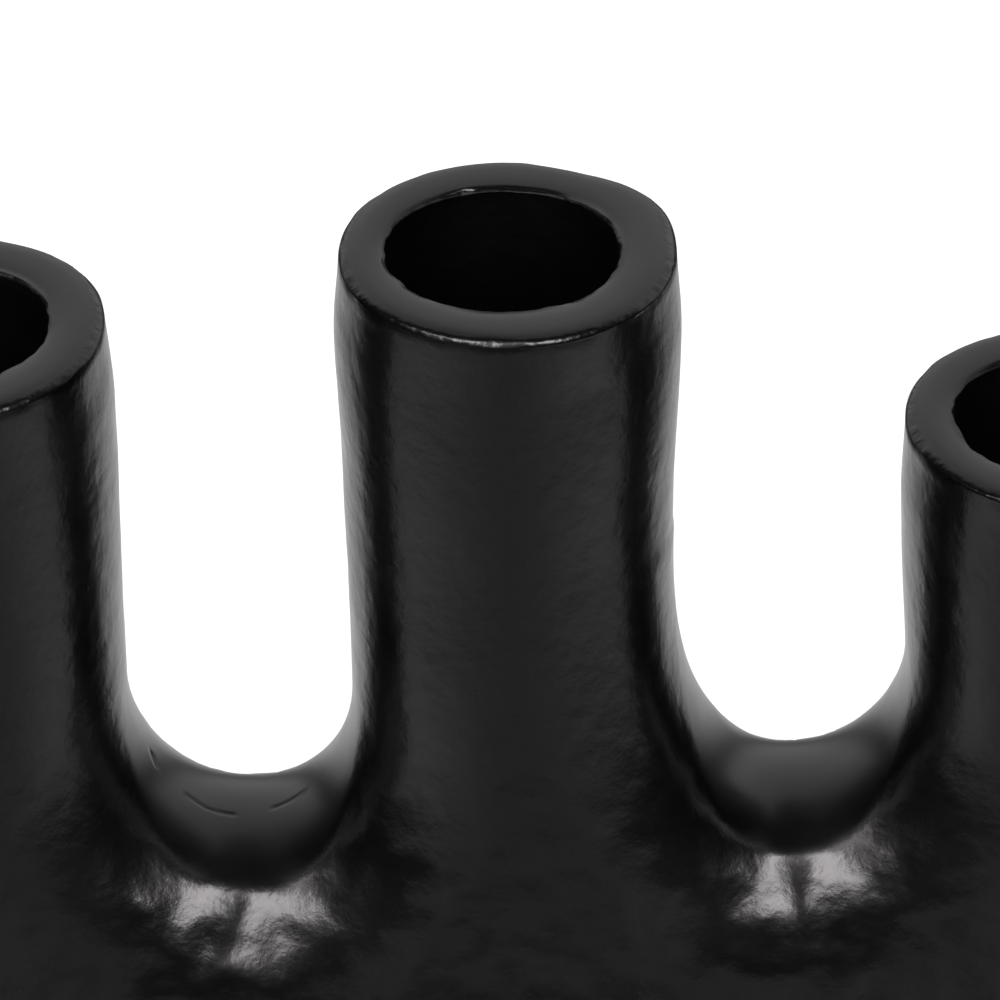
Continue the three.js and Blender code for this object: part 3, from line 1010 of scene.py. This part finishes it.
def edge_profile(radius, low, high, roll, steps=4):
    """Profile of a disc with both edges rolled over."""
    profile = [(INNER_RING, low), (radius / 2, low)]
    for step in range(steps + 1):
        angle = math.pi / 2 * step / steps
        profile.append((radius - roll + roll * math.sin(angle), low + roll - roll * math.cos(angle)))
    for step in range(steps + 1):
        angle = math.pi / 2 * step / steps
        profile.append((radius - roll + roll * math.cos(angle), high - roll + roll * math.sin(angle)))
    profile += [(radius / 2, high), (INNER_RING, high)]
    return profile


def cut(piece, cutters):
    """Cuts the cutters out of a piece, and removes them."""
    for cutter in cutters:
        modifier = piece.modifiers.new("cut", "BOOLEAN")
        modifier.operation = "DIFFERENCE"
        modifier.object = cutter
        modifier.solver = "EXACT"
    graph = bpy.context.evaluated_depsgraph_get()
    result = bpy.data.meshes.new_from_object(piece.evaluated_get(graph))
    piece.modifiers.clear()
    piece.data = result
    for cutter in cutters:
        bpy.data.objects.remove(cutter)
    piece.data.shade_smooth()
    piece.data.set_sharp_from_angle(angle=math.radians(35))


def candle_stop(arm):
    """Pressed disc with a shallow dish that a candle stands in."""
    name = f"candle_stop_{arm.side}"
    profile = edge_profile(STOP_RADIUS, -STOP_THICKNESS, 0, STOP_ROLL)[:-2]
    for share in np.linspace(1, 0.04, 12):
        dish = STOP_DISH * (1 - smoothstep(0.55, 1.0, share))
        profile.append(((STOP_RADIUS - STOP_ROLL) * share, -dish))
    angle = np.linspace(0, 2 * math.pi, 96, endpoint=False)
    rings = [arm.place(radius, angle, SOCKET_DEPTH - height).T for radius, height in profile]
    return closed_rings(f"{name}_pressed", rings), name


def base_plate():
    """Pressed cover plate with rolled edges and four screw holes."""
    low, high, _ = box_of("base_plate")
    radius = high[1]
    end = high[0] - radius
    angle = np.linspace(-math.pi / 2, 1.5 * math.pi, 2 * PLATE_END_SIDES, endpoint=False)
    angle += math.pi / (2 * PLATE_END_SIDES)
    side = np.where(np.cos(angle) > 0, end, -end)
    rings = []
    for reach, height in edge_profile(radius, low[2], high[2], PLATE_ROLL):
        x = side * min(1.0, reach / radius * 2) + reach * np.cos(angle)
        rings.append(np.array([x, reach * np.sin(angle), np.full(len(angle), height)]).T)
    plate = closed_rings("base_plate_pressed", rings)
    holes = []
    for number in (1, 2, 3, 4):
        _, _, middle = box_of(f"base_screw_{number}")
        profile = [(SCREW_HOLE, low[2] - 1), (SCREW_HOLE, high[2] + 1)]
        holes.append(turned(f"hole_{number}", profile, middle[:2], 32))
    cut(plate, holes)
    return plate, "base_plate"


def base_screw(number):
    """Pan-head screw, head down: a domed head with a cross recess, and a threaded shank."""
    name = f"base_screw_{number}"
    low, high, middle = box_of(name)
    radius = (high[0] - low[0]) / 2
    head_top = low[2] + HEAD_HEIGHT
    profile = [(SCREW_INNER_RING, low[2])]
    for angle in np.linspace(0, math.pi / 2, 9)[1:]:
        drop = HEAD_SIDE + (HEAD_HEIGHT - HEAD_SIDE) * math.cos(angle)
        profile.append((radius * math.sin(angle), head_top - drop))
    profile += [(radius, head_top - HEAD_EDGE), (radius - HEAD_EDGE, head_top)]
    profile.append((SCREW_RADIUS, head_top))
    thread_start = head_top + THREAD_FREE
    thread_end = high[2] - SCREW_POINT
    for turn in range(int((thread_end - thread_start) / THREAD_PITCH)):
        start = thread_start + turn * THREAD_PITCH
        profile += [(SCREW_RADIUS - THREAD_DEPTH, start), (SCREW_RADIUS, start + THREAD_PITCH / 2)]
    profile.append((SCREW_RADIUS - THREAD_DEPTH, thread_end))
    profile += [(POINT_RADIUS, high[2]), (SCREW_INNER_RING, high[2])]
    screw = turned(f"{name}_threaded", profile, middle[:2], 48)
    arms = [cross_arm(middle, low[2], turn) for turn in (0, math.pi / 2)]
    cut(screw, arms)
    return screw, name


def cross_arm(middle, low, turn):
    """One arm of the tapering cutter for a cross recess."""
    rings = []
    for height, long, wide in CROSS_RECESS:
        corners = [(-long, -wide), (long, -wide), (long, wide), (-long, wide)]
        ring = []
        for x, y in corners:
            across = x * math.cos(turn) - y * math.sin(turn)
            along = x * math.sin(turn) + y * math.cos(turn)
            ring.append((middle[0] + across, middle[1] + along, low + height))
        rings.append(np.array(ring))
    return closed_rings(f"cross_{turn:.1f}", rings)


def foot_pad(number):
    """Felt disc, slightly ragged at its cut edge."""
    name = f"foot_pad_{number}"
    low, high, middle = box_of(name)
    radius = (high[0] - low[0]) / 2
    profile = [(radius * share, low[2]) for share in np.linspace(0.05, 0.95, 14)]
    for share in np.linspace(0, 1, 12):
        bulge = PAD_BULGE * math.sin(math.pi * share)
        profile.append((radius - PAD_EDGE + bulge, low[2] + (high[2] - low[2]) * share))
    profile += [(radius * share, high[2]) for share in np.linspace(0.95, 0.05, 8)]
    pad = turned(f"{name}_felt", profile, middle[:2], 128)
    points = np.array([vertex.co for vertex in pad.data.vertices]) / MM
    normals = vertex_normals(pad)
    seed, shortest, longest, size = PAD_RAG
    rag = waves(seed + number, shortest, longest)(points) * size
    side = np.hypot(normals[:, 0], normals[:, 1])
    points[:, :2] += normals[:, :2] * (np.minimum(rag, PAD_BULGE) * side)[:, None]
    move_points(pad, points)
    return pad, name


def dress(piece, name, slot, material):
    """Puts a finished piece in the place of a CAD node."""
    piece.data.materials.clear()
    piece.data.materials.append(material)
    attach(piece, "root")
    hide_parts(name)


# Stage


def floor():
    """Round pale table top that fades out towards its edge."""
    mesh = bmesh.new()
    bmesh.ops.create_circle(mesh, cap_ends=True, radius=FLOOR_END, segments=96)
    data = bpy.data.meshes.new("floor")
    mesh.to_mesh(data)
    mesh.free()
    piece = new_object("floor", data)
    material, tree, shader, place = new_material("floor_paint")
    shader.inputs["Base Color"].default_value = (0.82, 0.82, 0.82, 1)
    shader.inputs["Roughness"].default_value = 0.9
    far = node(tree, "ShaderNodeVectorMath", operation="LENGTH")
    link(tree, place, far.inputs[0])
    alpha = ramp(tree, far.outputs["Value"], 1.0, 0.0, FLOOR_SOLID, FLOOR_END)
    link(tree, alpha, shader.inputs["Alpha"])
    data.materials.append(material)
    piece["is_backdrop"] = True
    return piece


def area_light(name, place, target, width, height, radiance, linked):
    """Light at place, facing target and lighting only a collection; a camera would see its radiance."""
    light = bpy.data.lights.new(name, "AREA")
    light.shape = "RECTANGLE"
    light.size = width
    light.size_y = height
    light.energy = radiance * math.pi * width * height
    lamp = new_object(name, light)
    lamp.location = place
    lamp.rotation_euler = (Vector(target) - Vector(place)).to_track_quat("-Z", "Y").to_euler()
    lamp.visible_camera = False
    lamp.light_linking.receiver_collection = linked


def polar(azimuth, elevation, distance):
    """Point in a direction from the object: azimuth 0 is the camera's side, positive to its right."""
    a, e = math.radians(azimuth), math.radians(elevation)
    flat = distance * math.cos(e)
    return (flat * math.sin(a), -flat * math.cos(a), distance * math.sin(e) + AIM_HEIGHT)


def only(name, pieces):
    """Collection of what a light may shine on."""
    collection = bpy.data.collections.new(name)
    for piece in pieces:
        collection.objects.link(piece)
    return collection


def studio(floor_piece, pieces):
    """Soft light: boxes in front, a bright wall behind, and a wash on the table only."""
    object_only = only("object_only", pieces)
    for name, (azimuth, elevation, width, height, radiance) in SOFT_BOXES.items():
        place = polar(azimuth, elevation, BOX_DISTANCE)
        area_light(name, place, (0, 0, AIM_HEIGHT), width, height, radiance, object_only)
    table_only = only("table_only", [floor_piece])
    wash = {"place": (0, 1.0, 0.9), "target": (0, 0.4, 0), "width": 0.9, "height": 0.6}
    area_light("table_wash", **wash, radiance=14.5, linked=table_only)
    world = bpy.data.worlds.new("studio")
    bpy.context.scene.world = world
    world.use_nodes = True
    tree = world.node_tree
    seen = tree.nodes["Background"]
    seen.inputs["Color"].default_value = (1, 1, 1, 1)
    seen.inputs["Strength"].default_value = 1.0
    lit = node(tree, "ShaderNodeBackground")
    link(tree, wall_glow(tree), lit.inputs["Strength"])
    mix = node(tree, "ShaderNodeMixShader")
    link(tree, node(tree, "ShaderNodeLightPath").outputs["Is Camera Ray"], mix.inputs["Fac"])
    link(tree, lit.outputs["Background"], mix.inputs[1])
    link(tree, seen.outputs["Background"], mix.inputs[2])
    link(tree, mix.outputs["Shader"], tree.nodes["World Output"].inputs["Surface"])


def wall_glow(tree):
    """Brightness of the room by direction: a white wall behind and beside, nothing overhead."""
    split = node(tree, "ShaderNodeSeparateXYZ")
    link(tree, node(tree, "ShaderNodeTexCoord").outputs["Generated"], split.inputs[0])
    facing = plus(tree, split.outputs["Y"], times(tree, split.outputs["X"], WALL_TURN))
    behind = ramp(tree, facing, 0.0, 1.0, *WALL_EDGE)
    top = math.sin(math.radians(WALL_TOP))
    under_top = ramp(tree, split.outputs["Z"], 1.0, 0.0, top - WALL_TOP_SOFT, top + WALL_TOP_SOFT)
    over_floor = ramp(tree, split.outputs["Z"], 0.0, 1.0, -FLOOR_DARK, 0.0)
    wall = times(tree, times(tree, behind, under_top), over_floor)
    return ramp(tree, wall, ROOM_GLOW, WALL_GLOW)


def camera():
    """Close view of the arms from a little over 30 degrees above, with a long lens."""
    back = Vector((0, -math.cos(CAMERA_ELEVATION), math.sin(CAMERA_ELEVATION)))
    data = bpy.data.cameras.new("camera")
    data.lens = CAMERA_LENS
    data.sensor_width = 36
    data.clip_end = 50
    piece = new_object("camera", data)
    piece.location = CAMERA_AIM + back * CAMERA_DISTANCE
    piece.rotation_euler = (-back).to_track_quat("-Z", "Y").to_euler()
    bpy.context.scene.camera = piece


# Making it

dress(casting(), "body_casting", "black_coating", black_coating())
stop_paint = painted_steel("stop_steel", (0.008, 0.008, 0.008), roughness=0.55)
for arm in ARMS:
    dress(*candle_stop(arm), "stop_steel", stop_paint)
plate_paint = painted_steel("plate_steel", (0.014, 0.014, 0.014), roughness=0.6)
dress(*base_plate(), "plate_steel", plate_paint)
zinc = zinc_plate()
wool = felt()
for number in (1, 2, 3, 4):
    dress(*base_screw(number), "screw_zinc", zinc)
    dress(*foot_pad(number), "pad_felt", wool)

camera()
studio(floor(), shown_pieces())
bpy.context.scene.view_settings.view_transform = "Standard"
